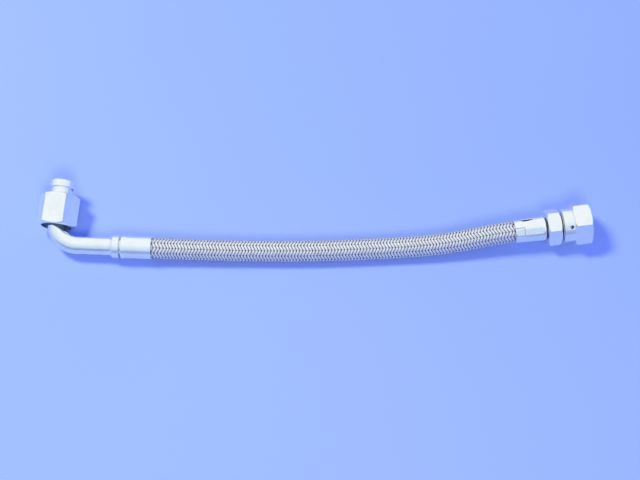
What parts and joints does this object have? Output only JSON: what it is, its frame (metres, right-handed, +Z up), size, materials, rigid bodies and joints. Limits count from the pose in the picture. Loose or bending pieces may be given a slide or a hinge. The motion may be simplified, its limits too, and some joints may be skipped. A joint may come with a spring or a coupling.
{
  "type": "turbo oil feed line",
  "caption": "Braided flexible oil hose with a bent-tube elbow and long swivel nut at one end and a straight fitting with a large swivel nut at the other.",
  "frame": {"origin": "on the surface the line lies on, under the middle of the box around its two rigid fittings, the hose left out", "axes": "+X from the elbow end to the straight end, +Z up from the surface, +Y the side that the elbow points to"},
  "size_m": [0.2958, 0.0442, 0.0223],
  "materials": {
    "plated_steel": "bright zinc plate, smooth",
    "stainless_braid": "woven bright wire",
    "spring_wire": "drawn wire, smooth",
    "white_polymer": "smooth"
  },
  "bodies": {
    "hose_line": {"hose_liner": "white_polymer", "wire_braid": "stainless_braid", "elbow_ferrule": "plated_steel", "straight_ferrule": "plated_steel", "elbow_stem": "plated_steel", "elbow_tube": "plated_steel", "seat_nose": "plated_steel", "straight_stem": "plated_steel"},
    "elbow_nut": {"elbow_swivel_nut": "plated_steel"},
    "straight_nut": {"straight_swivel_nut": "plated_steel", "thrust_wire": "spring_wire"}
  },
  "joints": [
    {"name": "elbow_nut_spin", "type": "hinge", "parent": "hose_line", "child": "elbow_nut", "pos_m": [-0.1362, 0.0043, 0.01118], "axis": [0.1018, 0.9729, 0.2075], "continuous": true},
    {"name": "straight_nut_spin", "type": "hinge", "parent": "hose_line", "child": "straight_nut", "pos_m": [0.13974, -0.00308, 0.01032], "axis": [0.9912, 0.1323, 0], "continuous": true}
  ]
}
